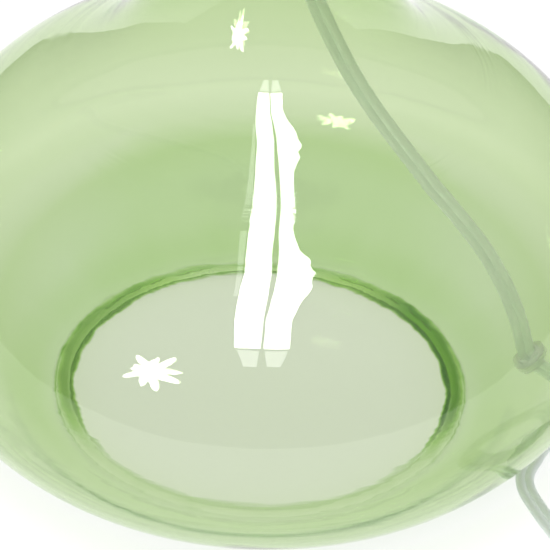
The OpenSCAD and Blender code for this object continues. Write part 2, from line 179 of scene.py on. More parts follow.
def sweep(name, line, flats, section, **options):
    """Carries a closed section of (across, out) along a line."""
    side, out = directions(line, flats)
    section = np.array(section)
    grid = (line[:, None] + side[:, None] * section[None, :, :1] + out[:, None] * section[None, :, 1:])
    steps = np.linalg.norm(np.diff(line, axis=0), axis=1)
    along = np.concatenate([[0], np.cumsum(steps)])
    return skin(name, grid, along=along, caps=True, **options)


def ring_section(radius, sides, offset=0.0):
    turns = [TAU * k / sides for k in range(sides)]
    return [(offset + radius * math.cos(a), radius * math.sin(a)) for a in turns]


def superellipse(sides, power):
    """The X and Y of a ring of points on a rounded square that reaches 1 on both axes."""
    angle = np.arange(sides) * TAU / sides
    c, s = np.cos(angle), np.sin(angle)
    return np.sign(c) * np.abs(c) ** (2 / power), np.sign(s) * np.abs(s) ** (2 / power)


def lathe_grid(outline, steps):
    """Rings of points up a plain outline, for a form that is closed with caps."""
    angle = np.arange(steps) * TAU / steps
    return np.array([[(r * math.cos(a), r * math.sin(a), z) for a in angle] for r, z in outline])


def cut(piece, cutter):
    """Takes the cutter's space out of a piece, and removes the cutter."""
    modifier = piece.modifiers.new("cut", "BOOLEAN")
    modifier.operation = "DIFFERENCE"
    modifier.solver = "EXACT"
    modifier.object = cutter
    bpy.context.view_layer.update()
    graph = bpy.context.evaluated_depsgraph_get()
    mesh = bpy.data.meshes.new_from_object(piece.evaluated_get(graph))
    piece.modifiers.clear()
    piece.data = mesh
    bpy.data.objects.remove(cutter)


def finished(piece, body, material, slot, *nodes):
    """Gives a piece its body and material, and hides the CAD nodes that it stands for. Its slot is not used.
    """
    piece.data.materials.clear()
    piece.data.materials.append(material)
    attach(piece, body)
    if nodes:
        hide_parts(*nodes)
    return piece


# --- materials -------------------------------------------------------------------------------

class Finish:
    """A node material under construction."""

    def __init__(self, name, **inputs):
        self.material = bpy.data.materials.new(name)
        self.material.use_nodes = True
        self.tree = self.material.node_tree
        self.shader = self.tree.nodes["Principled BSDF"]
        self.output = self.tree.nodes["Material Output"]
        self.fill(self.shader, inputs)

    def fill(self, node, inputs):
        for key, value in inputs.items():
            key = key.replace("_", " ")
            if isinstance(value, bpy.types.NodeSocket):
                self.tree.links.new(value, node.inputs[key])
            else:
                node.inputs[key].default_value = value

    def add(self, kind, settings=None, **inputs):
        node = self.tree.nodes.new("ShaderNode" + kind)
        for key, value in (settings or {}).items():
            setattr(node, key, value)
        self.fill(node, inputs)
        return node

    def place(self):
        return self.add("TexCoord").outputs["Object"]

    def noise(self, scale, detail=3.0, vector=None, **inputs):
        node = self.add("TexNoise", Vector=vector or self.place(), Scale=scale, Detail=detail, **inputs)
        return node.outputs["Fac"]

    def stretched(self, scale):
        """Object coordinates multiplied on each axis."""
        return self.add("Mapping", Vector=self.place(), Scale=scale).outputs["Vector"]

    def ramp(self, factor, *stops):
        node = self.add("ValToRGB", Fac=factor)
        elements = node.color_ramp.elements
        while len(elements) < len(stops):
            elements.new(0.5)
        for element, (position, colour) in zip(elements, stops):
            element.position = position
            element.color = (*colour, 1) if hasattr(colour, "__len__") else (colour, colour, colour, 1)
        return node.outputs["Color"]

    def math(self, operation, a, b=0.0):
        node = self.add("Math", {"operation": operation})
        for socket, value in zip(node.inputs, (a, b)):
            if isinstance(value, bpy.types.NodeSocket):
                self.tree.links.new(value, socket)
            else:
                socket.default_value = value
        return node.outputs["Value"]

    def bump(self, height, distance, strength=1.0, under=None):
        inputs = {"Normal": under} if under else {}
        node = self.add("Bump", Height=height, Distance=distance, Strength=strength, **inputs)
        self.tree.links.new(node.outputs["Normal"], self.shader.inputs["Normal"])
        return node.outputs["Normal"]

    def set(self, **inputs):
        self.fill(self.shader, inputs)


def between(f, value, start, end, before=0.0, after=1.0):
    """A smooth change from one number to another while a value goes from start to end."""
    node = f.add("MapRange", {"interpolation_type": "SMOOTHSTEP"}, Value=value, From_Min=start, From_Max=end,
                 To_Min=before, To_Max=after)
    return node.outputs["Result"]


def blend(f, factor, first, second, way="MIX"):
    """Two colours mixed, either of which may be a socket."""
    node = f.add("Mix", {"data_type": "RGBA", "blend_type": way}, Factor=factor)
    for socket, colour in zip(node.inputs[6:8], (first, second)):
        if isinstance(colour, bpy.types.NodeSocket):
            f.tree.links.new(colour, socket)
        else:
            socket.default_value = (*colour, 1)
    return node.outputs[2]


POOL_SHADE_INNER = (0.0735, 0.0752)       # the radii over which the heel's band begins: the pooled glass's own deeper colour with painted shade on it
POOL_SHADE_OUTER = (0.0785, 0.083)        # and those over which it ends
POOL_SHADE_TOP = (0.0085, 0.012)
POOL_SHADE_PALE = (0.36, 0.62, 0.12)           # what the band lets through where it is half and fully deep: the pooled glass's own colour, deepened by painted shade
POOL_SHADE_DEEP = (0.035, 0.17, 0.0005)
MARKED = (0.1425, 0.145, 0.1485, 0.151)     # the heights between which tool marks lie


def green_glass():
    """Blown glass, coloured through its thickness and darkest in a band inside the heel, where it pools and
    where shade is painted on, weaker in front, at the very back and on the left, with faint tooling rings on
    its skin."""
    f = Finish("green_glass", Roughness=0.012, IOR=1.5, Transmission_Weight=1.0)
    absorb = f.add("VolumeAbsorption", Color=(0.64, 0.83, 0.325, 1), Density=200.0)
    f.tree.links.new(absorb.outputs["Volume"], f.output.inputs["Volume"])
    along = f.add("SeparateXYZ", Vector=f.place())
    flat = f.add("VectorMath", {"operation": "LENGTH"}, Vector=f.stretched((1.0, 1.0, 0.0))).outputs["Value"]
    ragged = f.math("MULTIPLY", f.math("SUBTRACT", f.noise(70.0, 2.0), 0.5), 0.005)
    radius = f.math("ADD", flat, ragged)
    pool_and_shade = between(f, radius, *POOL_SHADE_INNER)
    for part in (between(f, radius, *POOL_SHADE_OUTER, 1.0, 0.0),
                 between(f, along.outputs["Z"], *POOL_SHADE_TOP, 1.0, 0.0),
                 # painted shade: the band is weakened towards the front, at the very back and towards the
                 # left
                 between(f, along.outputs["Y"], -0.055, -0.012, 0.16, 1.0),
                 between(f, along.outputs["Y"], 0.045, 0.076, 1.0, 0.45),
                 between(f, along.outputs["X"], -0.06, 0.06, 0.8, 1.0)):
        pool_and_shade = f.math("MULTIPLY", pool_and_shade, part)
    f.set(Base_Color=f.ramp(pool_and_shade, (0.0, 1.0), (0.5, POOL_SHADE_PALE), (1.0, POOL_SHADE_DEEP)))
    rings = f.noise(1.0, 2.0, f.stretched((2.0, 2.0, 260.0)))
    marks = f.noise(1.0, 3.0, f.stretched((14.0, 14.0, 1500.0)))
    marked = f.math("MULTIPLY", between(f, along.outputs["Z"], *MARKED[:2]),
                    between(f, along.outputs["Z"], *MARKED[2:], 1.0, 0.0))
    under = f.bump(rings, 0.00002)
    under = f.bump(f.noise(26.0, 1.0), 0.0003, under=under)
    f.bump(f.math("MULTIPLY", marks, marked), 0.00004, under=under)
    return f.material


def clear_plastic(name, colour, roughness, clear=0.93, ior=1.46):
    """Soft clear plastic with a slightly milky, uneven skin."""
    f = Finish(name, IOR=ior, Transmission_Weight=clear)
    cloud = f.noise(300.0, 2.0)
    pale = tuple(min(1.0, c * 1.04) for c in colour)
    f.set(Base_Color=f.ramp(cloud, (0.3, colour), (0.7, pale)))
    f.set(Roughness=f.math("MULTIPLY_ADD", cloud, roughness))
    f.bump(f.noise(900.0), 0.00004)
    return f.material


def metal(name, colour, roughness, lines=3500.0, depth=0.000012):
    """Plated or turned metal: fine lines round the Z axis, smudges, and a lighter colour on sharp edges."""
    f = Finish(name, Metallic=1.0)
    smudge = f.noise(60.0, 5.0)
    dull = tuple(c * 0.86 for c in colour)
    tone = f.ramp(smudge, (0.35, dull), (0.62, colour))
    edge = f.ramp(f.add("NewGeometry").outputs["Pointiness"], (0.52, 0.0), (0.6, 1.0))
    bright = tuple(min(1.0, c * 1.25) for c in colour)
    mix = f.add("Mix", {"data_type": "RGBA"}, Factor=edge)
    f.tree.links.new(tone, mix.inputs[6])
    mix.inputs[7].default_value = (*bright, 1)
    f.set(Base_Color=mix.outputs[2])
    f.set(Roughness=f.ramp(smudge, (0.3, roughness * 0.75), (0.75, roughness * 1.35)))
    turned = f.noise(1.0, 2.0, f.stretched((120.0, 120.0, lines)))
    f.bump(turned, depth)
    return f.material


def stranded(name, colour, pitch=0.012, strands=9.0):
    """Twisted fine wires: slanting ridges that follow the wire's own length, with painted shade in the
    grooves between them.
    """
    f = Finish(name, Metallic=1.0, Roughness=0.28)
    uv = f.add("SeparateXYZ", Vector=f.add("TexCoord").outputs["UV"])
    turn = f.math("ADD", uv.outputs["X"], f.math("MULTIPLY", uv.outputs["Y"], 1 / pitch))
    ridge = f.math("SINE", f.math("MULTIPLY", turn, TAU * strands))
    shade = f.math("MULTIPLY_ADD", ridge, 0.5)
    # painted shade: the grooves between strands are darker
    dark = tuple(c * 0.45 for c in colour)
    f.set(Base_Color=f.ramp(shade, (0.1, dark), (0.7, colour)))
    f.bump(shade, 0.00012)
    return f.material


def rubber():
    f = Finish("rubber", Roughness=0.75)
    speck = f.noise(1500.0, 2.0)
    f.set(Base_Color=f.ramp(speck, (0.35, (0.018, 0.018, 0.018)), (0.7, (0.04, 0.04, 0.038))))
    f.bump(f.noise(700.0, 4.0), 0.00006)
    return f.material


def phenolic():
    """Moulded dark resin, with a faint swirl and a satin skin."""
    f = Finish("phenolic", IOR=1.6)
    swirl = f.noise(180.0, 4.0, Distortion=1.5)
    f.set(Base_Color=f.ramp(swirl, (0.3, (0.012, 0.008, 0.006)), (0.75, (0.035, 0.022, 0.015))))
    f.set(Roughness=f.ramp(f.noise(90.0), (0.3, 0.22), (0.7, 0.4)))
    f.bump(f.noise(1200.0), 0.00002)
    return f.material


def fibre():
    """Pressed paper insulation with its fibres lying round the tube."""
    f = Finish("fibre", Roughness=0.85)
    strands = f.noise(1.0, 5.0, f.stretched((350.0, 350.0, 2600.0)))
    f.set(Base_Color=f.ramp(strands, (0.3, (0.17, 0.11, 0.06)), (0.7, (0.36, 0.25, 0.14))))
    f.bump(strands, 0.0001)
    return f.material


def woven_strap():
    f = Finish("white_strap", Roughness=0.9)
    weft = f.add("TexWave", {"bands_direction": "Z"}, Vector=f.place(), Scale=900.0, Distortion=0.6)
    warp = f.add("TexWave", {"bands_direction": "DIAGONAL"}, Vector=f.place(), Scale=600.0, Distortion=0.6)
    cloth = f.math("MULTIPLY", weft.outputs["Fac"], warp.outputs["Fac"])
    # painted shade: the weave's hollows are darker than its raised threads
    f.set(Base_Color=f.ramp(cloth, (0.1, (0.62, 0.62, 0.6)), (0.8, (0.86, 0.86, 0.83))))
    f.bump(cloth, 0.00015)
    return f.material


NICKEL = (0.72, 0.7, 0.66)
GLASS = green_glass()
JACKET = clear_plastic("flex_jacket", (0.92, 0.985, 0.965), 0.12, clear=0.3)
MOULDED = clear_plastic("moulded_plastic", (0.86, 0.91, 0.87), 0.2)
RING = clear_plastic("grommet_plastic", (0.98, 0.99, 0.98), 0.03, clear=0.9, ior=1.33)
SPUN = metal("spun_nickel", NICKEL, 0.2)
DRAWN = metal("drawn_nickel", NICKEL, 0.16, lines=200.0, depth=0.000006)
STEEL = metal("zinc_steel", (0.62, 0.63, 0.64), 0.3)
BRASS = metal("brass", (0.87, 0.66, 0.3), 0.22)
TINNED = stranded("tinned_strands", (0.78, 0.8, 0.78))
COPPER = stranded("copper_strands", (0.85, 0.46, 0.28), pitch=0.008, strands=6.0)
RUBBER = rubber()
PHENOLIC = phenolic()
FIBRE = fibre()
STRAP = woven_strap()


# --- cords -----------------------------------------------------------------------------------

WALL = 2.2 * MM
BELLY_R = high("glass_body").x
BELLY_Z = 68.2 * MM
LOWER_RISE = 88.5 * MM
UPPER_RISE = 96.3 * MM
EXIT_R = 109.2 * MM
EXIT_TURN = math.radians(3.6)
EXIT_DROP = LOWER_RISE * math.sqrt(1 - (EXIT_R / BELLY_R) ** 2)      # below the belly's widest place
EXIT_DIP = math.atan2(EXIT_DROP / LOWER_RISE ** 2, EXIT_R / BELLY_R ** 2)
EXIT = Vector((EXIT_R * math.cos(EXIT_TURN), EXIT_R * math.sin(EXIT_TURN), BELLY_Z - EXIT_DROP))
EXIT_WAY = Vector((math.cos(EXIT_DIP) * math.cos(EXIT_TURN), math.cos(EXIT_DIP) * math.sin(EXIT_TURN),
                   -math.sin(EXIT_DIP)))
FLEX_JOINT = EXIT - EXIT_WAY * WALL / 2

FLEX_W = 7.1 * MM
FLEX_T = 3.5 * MM
CORE_R = 0.7 * MM
CORE_AT = (FLEX_W - FLEX_T) / 2

INNER_ROUTE = [(0, 0, 0.283), (0, 0, 0.268), (0, 0, 0.25), (0, 0, 0.233), (0.0012, 0, 0.221),
               (0.0046, 0.0003, 0.2085), (0.0094, 0.0006, 0.1945), (0.0154, 0.001, 0.1795),
               (0.0229, 0.0015, 0.162), (0.031, 0.002, 0.1455), (0.0402, 0.0027, 0.13),
               (0.0503, 0.0034, 0.115), (0.0618, 0.0042, 0.0985), (0.0736, 0.005, 0.083),
               (0.0847, 0.0056, 0.0675), (0.0932, 0.0061, 0.052), (0.099, 0.0065, 0.0385),
               (0.1031, 0.0068, 0.0265), EXIT - 0.005 * EXIT_WAY, FLEX_JOINT]
RUN_ROUTE = [FLEX_JOINT, EXIT + 0.002 * EXIT_WAY, (0.1132, 0.007, 0.0086), (0.1167, 0.0064, 0.0064),
             (0.1204, 0.005, 0.0047), (0.1238, 0.0026, 0.0039), (0.1268, -0.0009, 0.0037),
             (0.1291, -0.006, 0.0036), (0.1296, -0.0122, 0.0036), (0.1279, -0.0184, 0.0036),
             (0.1243, -0.0236, 0.0036), (0.1194, -0.027, 0.0034), (0.1144, -0.03, 0.0028),
             (0.11, -0.035, 0.0022), (0.1067, -0.0415, 0.0019), (0.104, -0.0475, 0.0018),
             (0.1028, -0.0535, 0.0018), (0.1036, -0.06, 0.0018), (0.106, -0.0668, 0.0018),
             (0.1092, -0.0745, 0.0019), (0.113, -0.083, 0.0024), (0.117, -0.0925, 0.0033),
             (0.1203, -0.103, 0.0038), (0.1216, -0.115, 0.0043)]
TAIL_ROUTE = [(0.2084, -0.115, 0.0119), (0.209, -0.103, 0.0114), (0.2105, -0.091, 0.009),
              (0.2125, -0.079, 0.0066), (0.2135, -0.068, 0.0062), (0.2135, -0.056, 0.0065)]

COIL_AT = Vector((0.165, -0.115, 0))
COIL_OUTER = 43.4 * MM       # radius of the outermost turn's middle line
COIL_PITCH = 3.7 * MM        # the flex lies on edge, so the turns are its thickness apart
COIL_LOWER_Z = 4.3 * MM
COIL_UPPER_Z = 11.9 * MM
LOWER_TURNS = 3.5
COIL_TURNS = 6.5
COIL_R = 37.9 * MM           # the middle of the bundle
STRAP_T = 0.6 * MM
STRAP_AT = math.radians(217)
STRAP_HALF_TURN = math.radians(8)


def ease(t):
    t = min(1.0, max(0.0, t))
    return t * t * (3 - 2 * t)


def coil_points():
    """Three and a half turns inward on the lower layer, and three turns outward on the upper one."""
    points = []
    per_turn = 24
    shift = 0.2             # share of a turn over which the flex moves in or out by one place
    climb = 0.3             # share of a turn over which it climbs to the upper layer
    for i in range(1, int(COIL_TURNS * per_turn)):
        t = i / per_turn
        if t <= LOWER_TURNS:
            places = math.floor(t) + ease((t % 1 - 1 + shift) / shift)
        else:
            rest = t - LOWER_TURNS
            places = math.floor(LOWER_TURNS) - math.floor(rest) - ease((rest % 1 - 1 + shift) / shift)
        radius = COIL_OUTER - places * COIL_PITCH
        z = COIL_LOWER_Z + (COIL_UPPER_Z - COIL_LOWER_Z) * ease((t - LOWER_TURNS) / climb)
        angle = math.pi + TAU * t
        out = Vector((math.cos(angle), math.sin(angle), 0))
        points.append((*(COIL_AT + out * radius + Vector((0, 0, z))), *(-out)))
    return points


def turning(count, start, end):
    """The way that the broad side faces, turning steadily over a number of points."""
    start, end = Vector(start), Vector(end)
    return [(start + (end - start) * i / (count - 1)).normalized() for i in range(count)]


def flex_section():
    """Two round cores' jackets that meet in a groove."""
    radius = FLEX_T / 2
    lobe = [(CORE_AT + radius * math.cos(a), radius * math.sin(a))
            for a in (math.radians(d) for d in range(-125, 126, 25))]
    groove = 0.5 * radius
    return lobe + [(0, groove)] + [(-u, -v) for u, v in lobe] + [(0, -groove)]


def flex(name, rows, body_nodes, step):
    """A twin flex and its two stranded cores along rows of place and facing."""
    dense = smooth_line(rows, step)
    line, flats = dense[:, :3], unit(dense[:, 3:])
    jacket = finished(sweep(name, line, flats, flex_section(), crease=60), "lamp_base", JACKET,
                      "clear_plastic", *body_nodes)
    cores = []
    for side, label in ((-1, "left"), (1, "right")):
        core = sweep(f"{name}_core_{label}", line, flats, ring_section(CORE_R, 8, side * CORE_AT), crease=80)
        cores.append(finished(core, "lamp_base", TINNED, "copper"))
    return jacket, cores, line


FLAT_FROM = 14               # the points of the run between which the flex lies flat
FLAT_TO = 18
TIPPING = 5                  # over how many points it tips from its edge to its side


def lying(i):
    """0 where the run stands on edge and 1 where it lies flat."""
    return ease(min(1 + (i - FLAT_FROM) / TIPPING, 1 + (FLAT_TO - i) / TIPPING))


def make_cords():
    inner_rows = [(*p, 0, 1, 0) for p in INNER_ROUTE]
    inner, inner_cores, inner_line = flex("inner_flex", inner_rows, ["flex_inside"], 2 * MM)
    ahead = np.gradient(np.array([tuple(p) for p in RUN_ROUTE]), axis=0)
    rows = []
    for i, (place, (hx, hy, _)) in enumerate(zip(RUN_ROUTE, ahead)):
        on_edge = Vector((-hy, hx, 0)).normalized()
        flat = lying(i)
        rows.append((*place, *(on_edge * (1 - flat) - Vector((0, 0, flat)))))
    rows += coil_points()
    rows += [(*p, *f) for p, f in zip(TAIL_ROUTE, turning(len(TAIL_ROUTE), (-1, 0, 0), (0, 0, 1)))]
    return flex("supply_flex", rows, ["flex_run", "flex_coil", "flex_tail"], 2 * MM)


supply, supply_cores, supply_line = make_cords()


def make_tie():
    """A soft woven strap once round the coil's bundle."""
    tall = (high("coil_tie").z - low("coil_tie").z) / 2
    deep = (high("flex_coil").x - low("flex_coil").x) / 2 - COIL_R + STRAP_T
    middle = np.array((COIL_R, low("coil_tie").z + tall))
    corners = [middle + (u * deep, v * tall) for u, v in ((-1, -1), (1, -1), (1, 1), (-1, 1))]
    face = np.array(rounded(corners, 4 * MM, 6))
    lining = face - unit(face - middle) * STRAP_T
    turns = STRAP_AT + np.linspace(-STRAP_HALF_TURN, STRAP_HALF_TURN, 9)

    def turned_to(shape, a):
        return [(COIL_AT.x + r * math.cos(a), COIL_AT.y + r * math.sin(a), z) for r, z in shape]

    grid = np.array([turned_to(face, a) for a in turns] + [turned_to(lining, a) for a in turns[::-1]])
    return finished(skin("strap_tie", grid, rows_closed=True), "lamp_base", STRAP, "white_strap", "coil_tie")


def loft(name, sections, centre, power=3.2, sides=48, **options):
    """Superellipse sections of (forward, half width, half height) along +Y from a point."""
    ring_x, ring_z = superellipse(sides, power)
    rows = []
    for forward, half_w, half_h in sections:
        rows.append(np.stack([centre[0] + half_w * ring_x, np.full(sides, centre[1] + forward),
                              centre[2] + half_h * ring_z], axis=-1))
    return skin(name, np.array(rows), caps=True, **options)


def make_plug():
    """A moulded two-pin plug: a ribbed tapering tail, a grip with finger hollows, and its blades."""
    start = Vector(TAIL_ROUTE[-1])
    ribs, tail = 5, 16 * MM
    sections = [(0, 3.9 * MM, 2.5 * MM), (0.4 * MM, 4.2 * MM, 2.7 * MM)]
    for i in range(ribs * 6 + 1):
        t = i / (ribs * 6)
        swell = 0.35 * MM * (0.5 - 0.5 * math.cos(TAU * ribs * t))
        sections.append((0.6 * MM + t * (tail - 0.6 * MM), (4.2 + 1.8 * t) * MM + swell - 0.3 * MM,
                         (2.7 + 1.8 * t) * MM + swell - 0.3 * MM))
    face = low("plug_blades").y - start.y
    grip = face - tail
    for t in np.linspace(0, 1, 18):
        waist = 0.8 * MM * math.sin(math.pi * min(1.0, t * 1.25)) ** 2
        rise = ease(t / 0.16)
        half_w = (6.2 + 2.5 * rise + 2.6 * t) * MM - waist * rise
        half_h = (4.6 + 1.75 * rise) * MM - 0.5 * waist * rise
        sections.append((tail + 0.2 * MM + t * (grip - 1.1 * MM), half_w, half_h))
    last = sections[-1]
    sections += [(face - 0.4 * MM, last[1] - 0.3 * MM, last[2] - 0.3 * MM),
                 (face, last[1] - 1.0 * MM, last[2] - 1.0 * MM)]
    return finished(loft("moulded_plug", sections, start), "lamp_base", MOULDED, "clear_plastic", "plug_body")


tie = make_tie()
plug = make_plug()


# --- glass -----------------------------------------------------------------------------------

LOW_ANGLE = 44.4             # degrees down from the belly's widest place to the heel
IN_LOW_ANGLE = 40.5          # and to the heel's inside
HIGH_ANGLE = 49.8            # and up to the shoulder
SHOULDER_PULL = 42 * MM
NECK_PULL = 47 * MM
NECK_START_Z = 222 * MM
NECK_R = 40 * MM
NECK_WALL = 3 * MM
PUNT_RISE = 2.2 * MM
FLOOR_T = 1.2 * MM
BEAD_Z = 7 * MM
BEAD_FLOOR_Z = 1.9 * MM
BEAD_HALF_W = 4.6 * MM
FOOT_R = 79 * MM
FOOT_FLAT = 3 * MM
LIP_Z = high("glass_body").z
HOLE_R = 5.2 * MM
EXIT_FRAME = (Matrix.Translation(EXIT) @ Matrix.Rotation(EXIT_TURN, 4, "Z")
              @ Matrix.Rotation(math.pi / 2 + EXIT_DIP, 4, "Y"))


def oval(rx, rz, start, end, steps):
    return [(rx * math.cos(a), BELLY_Z + rz * math.sin(a))
            for a in np.radians(np.linspace(start, end, steps + 1))]


def oval_way(rx, rz, angle):
    a = math.radians(angle)
    return np.array((-rx * math.sin(a), rz * math.cos(a))) / math.hypot(rx * math.sin(a), rz * math.cos(a))


def glass_outlines():
    heel = np.array(oval(BELLY_R, LOWER_RISE, -LOW_ANGLE, 0, 1)[0])
    shoulder = np.array(oval(BELLY_R, UPPER_RISE, HIGH_ANGLE, 0, 1)[0])
    in_r, in_low, in_high = BELLY_R - WALL, LOWER_RISE - WALL, UPPER_RISE - WALL
    in_heel = np.array(oval(in_r, in_low, -IN_LOW_ANGLE, 0, 1)[0])
    in_shoulder = np.array(oval(in_r, in_high, HIGH_ANGLE, 0, 1)[0])
    floor_z = PUNT_RISE + FLOOR_T
    bore = NECK_R - NECK_WALL
    outer = (bezier((0, PUNT_RISE), (0.04, PUNT_RISE), (0.07, 0.001), (FOOT_R - FOOT_FLAT / 2, 0), 24)
             + bezier((FOOT_R + FOOT_FLAT / 2, 0), (FOOT_R + 0.007, 0),
                      heel - 0.007 * oval_way(BELLY_R, LOWER_RISE, -LOW_ANGLE), heel, 20)
             + oval(BELLY_R, LOWER_RISE, 1.5 - LOW_ANGLE, 0, 32)
             + oval(BELLY_R, UPPER_RISE, 1.5, HIGH_ANGLE, 36)
             + bezier(shoulder, shoulder + SHOULDER_PULL * oval_way(BELLY_R, UPPER_RISE, HIGH_ANGLE),
                      (NECK_R, NECK_START_Z - NECK_PULL), (NECK_R, NECK_START_Z), 36)[1:]
             + [(NECK_R, z) for z in np.linspace(NECK_START_Z, LIP_Z - WALL, 8)[1:]])
    half, lean = BEAD_HALF_W, BEAD_HALF_W * 0.55
    crest = (FOOT_R, BEAD_Z)
    groove = (FOOT_R - half, BEAD_FLOOR_Z)
    dip = (FOOT_R + half, BEAD_FLOOR_Z + 0.0012)
    inner = (bezier((0, floor_z), (0.04, floor_z), (groove[0] - 0.01, groove[1]), groove, 20)[:-1]
             + bezier(groove, (groove[0] + lean, groove[1]), (FOOT_R - lean, BEAD_Z), crest, 14)[:-1]
             + bezier(crest, (FOOT_R + lean, BEAD_Z), (dip[0] - half * 0.4, dip[1]), dip, 14)[:-1]
             + bezier(dip, (dip[0] + 0.003, dip[1]),
                      in_heel - 0.008 * oval_way(in_r, in_low, -IN_LOW_ANGLE), in_heel, 18)
             + oval(in_r, in_low, 1.5 - IN_LOW_ANGLE, 0, 30)
             + oval(in_r, in_high, 1.5, HIGH_ANGLE, 36)
             + bezier(in_shoulder, in_shoulder + SHOULDER_PULL * oval_way(in_r, in_high, HIGH_ANGLE),
                      (bore, NECK_START_Z - NECK_PULL), (bore, NECK_START_Z), 36)[1:]
             + [(bore, z) for z in np.linspace(NECK_START_Z, LIP_Z - WALL, 8)[1:]])
    middle = (NECK_R + bore) / 2
    lip = [(middle + NECK_WALL / 2 * math.cos(a), LIP_Z - NECK_WALL / 2 + NECK_WALL / 2 * math.sin(a))
           for a in np.linspace(0, math.pi, 9)]
    return outer, lip, inner


def make_glass():
    outer, lip, inner = glass_outlines()

    def inside(radius):
        return np.arange(radius.shape[1])[None, :] >= len(outer) + len(lip) / 2

    def hand_blown(radius, height, angle):
        """A slow unevenness all over, and a finer one inside the heel, strongest at the back."""
        slow = (np.sin(3 * angle + 9 * height / BELLY_R) + np.sin(5 * angle + 1.3 - 6 * height / BELLY_R)
                + 0.6 * np.sin(8 * angle + 2.1 + 14 * height / BELLY_R)) * 0.05 * MM
        heel = np.exp(-((height - 6 * MM) / (7 * MM)) ** 2) * (radius > 62 * MM) * (0.5 + 0.5 * np.sin(angle))
        fine = (np.sin(13 * angle + 0.7) + np.sin(22 * angle + 2.9) + 0.8 * np.sin(41 * angle)) * 0.26 * MM
        reach = np.minimum(1, radius / FOOT_R)
        steady = np.clip((LIP_Z - 14 * MM - height) / (30 * MM), 0, 1)
        inner_skin = inside(radius)
        uneven = slow * np.where(inner_skin, 1.4, 1.0) * reach + np.where(inner_skin, fine * heel, 0)
        return radius + uneven * steady

    def pooled(radius, height, angle):
        """The pooled glass inside the heel is lower than the CAD's even bead, most of all at the back."""
        turned = np.clip((np.sin(angle) + 0.75) / 0.6, 0, 1)
        share = 0.4 + 0.1 * turned ** 2 * (3 - 2 * turned) - 0.25 * np.clip(np.sin(angle), 0, 1) ** 4
        near = np.clip(2.2 - np.abs(radius - FOOT_R) / BEAD_HALF_W, 0, 1) * (height < 2 * BEAD_Z)
        bead = np.maximum(height - BEAD_FLOOR_Z, 0) * inside(radius)
        return height - bead * (1 - share) * near

    glass = lathe("blown_glass", outer + lip + inner[::-1], 288, hand_blown, pooled, crease=50)
    cutter = skin("cutter", lathe_grid([(HOLE_R, -15 * MM), (HOLE_R, 15 * MM)], 48), caps=True)
    cutter.data.transform(EXIT_FRAME)
    cut(glass, cutter)
    return finished(glass, "lamp_base", GLASS, "green_glass", "glass_body")


make_glass()


def make_grommet():
    bore = FLEX_W / 2 + 0.2 * MM
    neck = HOLE_R - 0.1 * MM
    lip = 7.2 * MM
    inside = -WALL - 0.55 * MM
    collar = bore + 1.1 * MM
    outline = [(bore, inside - 1.9 * MM), (collar, inside - 1.9 * MM), (collar, inside - 0.9 * MM),
               (lip, inside - 0.8 * MM), (lip, inside), (neck, inside), (neck, 0.15 * MM), (lip, 0.15 * MM),
               (lip, 0.9 * MM), (collar, 1.0 * MM), (collar, 1.7 * MM), (bore, 1.7 * MM)]
    grommet = lathe("clear_grommet", rounded(outline, 0.35 * MM, 4), 64)
    grommet.data.transform(EXIT_FRAME)
    return finished(grommet, "lamp_base", RING, "clear_plastic", "flex_grommet")


make_grommet()


# --- neck fittings and socket ----------------------------------------------------------------

def turned(name, outline, base, corner=0.3, steps=96, shape=None, **options):
    """A turned piece on the lamp's axis: its outline in millimetres, with heights above a base."""
    points = [(r * MM, base + z * MM) for r, z in outline]
    return lathe(name, rounded(points, corner * MM), steps, shape, **options)


def helix(depth, pitch, from_r=0.0):
    """Cuts a round thread into the walls beyond a radius."""
    def shape(radius, height, angle):
        wave = 0.5 - 0.5 * np.cos(TAU * height / pitch - angle)
        return radius - np.where(radius > from_r, depth * wave, 0)
    return shape


def flutes(count, depth, from_r, low_z=-1.0, high_z=1.0):
    """Presses upright flutes into the wall beyond a radius, between two heights."""
    def shape(radius, height, angle):
        band = (radius > from_r) & (height > low_z) & (height < high_z)
        return radius - np.where(band, depth * (0.5 - 0.5 * np.cos(count * angle)), 0)
    return shape


def rows_between(radius, start, end, step):
    return [(radius, z) for z in np.linspace(start, end, max(2, round((end - start) / step)))]


NIPPLE_R = 5.14 * MM
BORE_R = NIPPLE_R + 0.11 * MM
CAP_TOP = high("neck_cap").z
HUB_Z = low("socket_cap").z
SHAFT_Z = (high("switch_knob").z + low("switch_knob").z) / 2


def make_neck():
    bore = BORE_R / MM
    nose = NECK_R / MM
    cap = [(bore, 2), (nose - 1.2, 2), (nose + 0.6, 0.4), (nose + 0.6, -12), (nose + 1.4, -12),
           (nose + 2.3, -11.5), (nose + 2.3, -10.3), (nose + 1.8, -9.8), (nose + 1.8, 0.8),
           (nose + 1.1, 2.6), (nose - 0.4, 3.8), (32, 3.8), (31.5, 3.4), (30, 3.4), (29.5, 3.8), (bore, 3.8)]
    finished(turned("spun_neck_cap", cap, LIP_Z, 0.45, 144), "lamp_base", SPUN, "nickel", "neck_cap")
    cove = [tuple(p) for p in bezier((16.4, 3.2), (12.4, 3.2), (8.6, 5.4), (8.6, 8.2), 10)]
    cup = [tuple(p) for p in bezier((8.6, 8.8), (8.6, 10.2), (10, 11.2), (11.2, 11.6), 6)]
    post = ([(bore, 0), (22, 0), (22, 1.5), (21, 2.2), (17.4, 2.2), (17.4, 2.8)] + cove + cup
            + [(12, 12.2), (12, 14.2), (bore, 14.2)])
    finished(turned("turned_spindle", post, CAP_TOP, 0.25), "lamp_base", SPUN, "nickel", "spindle")
    pitch = 25.4 / 27 * MM
    start, end = low("threaded_nipple").z, high("threaded_nipple").z
    outline = rows_between(NIPPLE_R, start, end, pitch / 6) + [(3.7 * MM, end), (3.7 * MM, start)]
    finished(lathe("lamp_nipple", outline, 48, helix(0.3 * MM, pitch, 4.5 * MM)), "lamp_base", STEEL, "steel",
             "threaded_nipple")


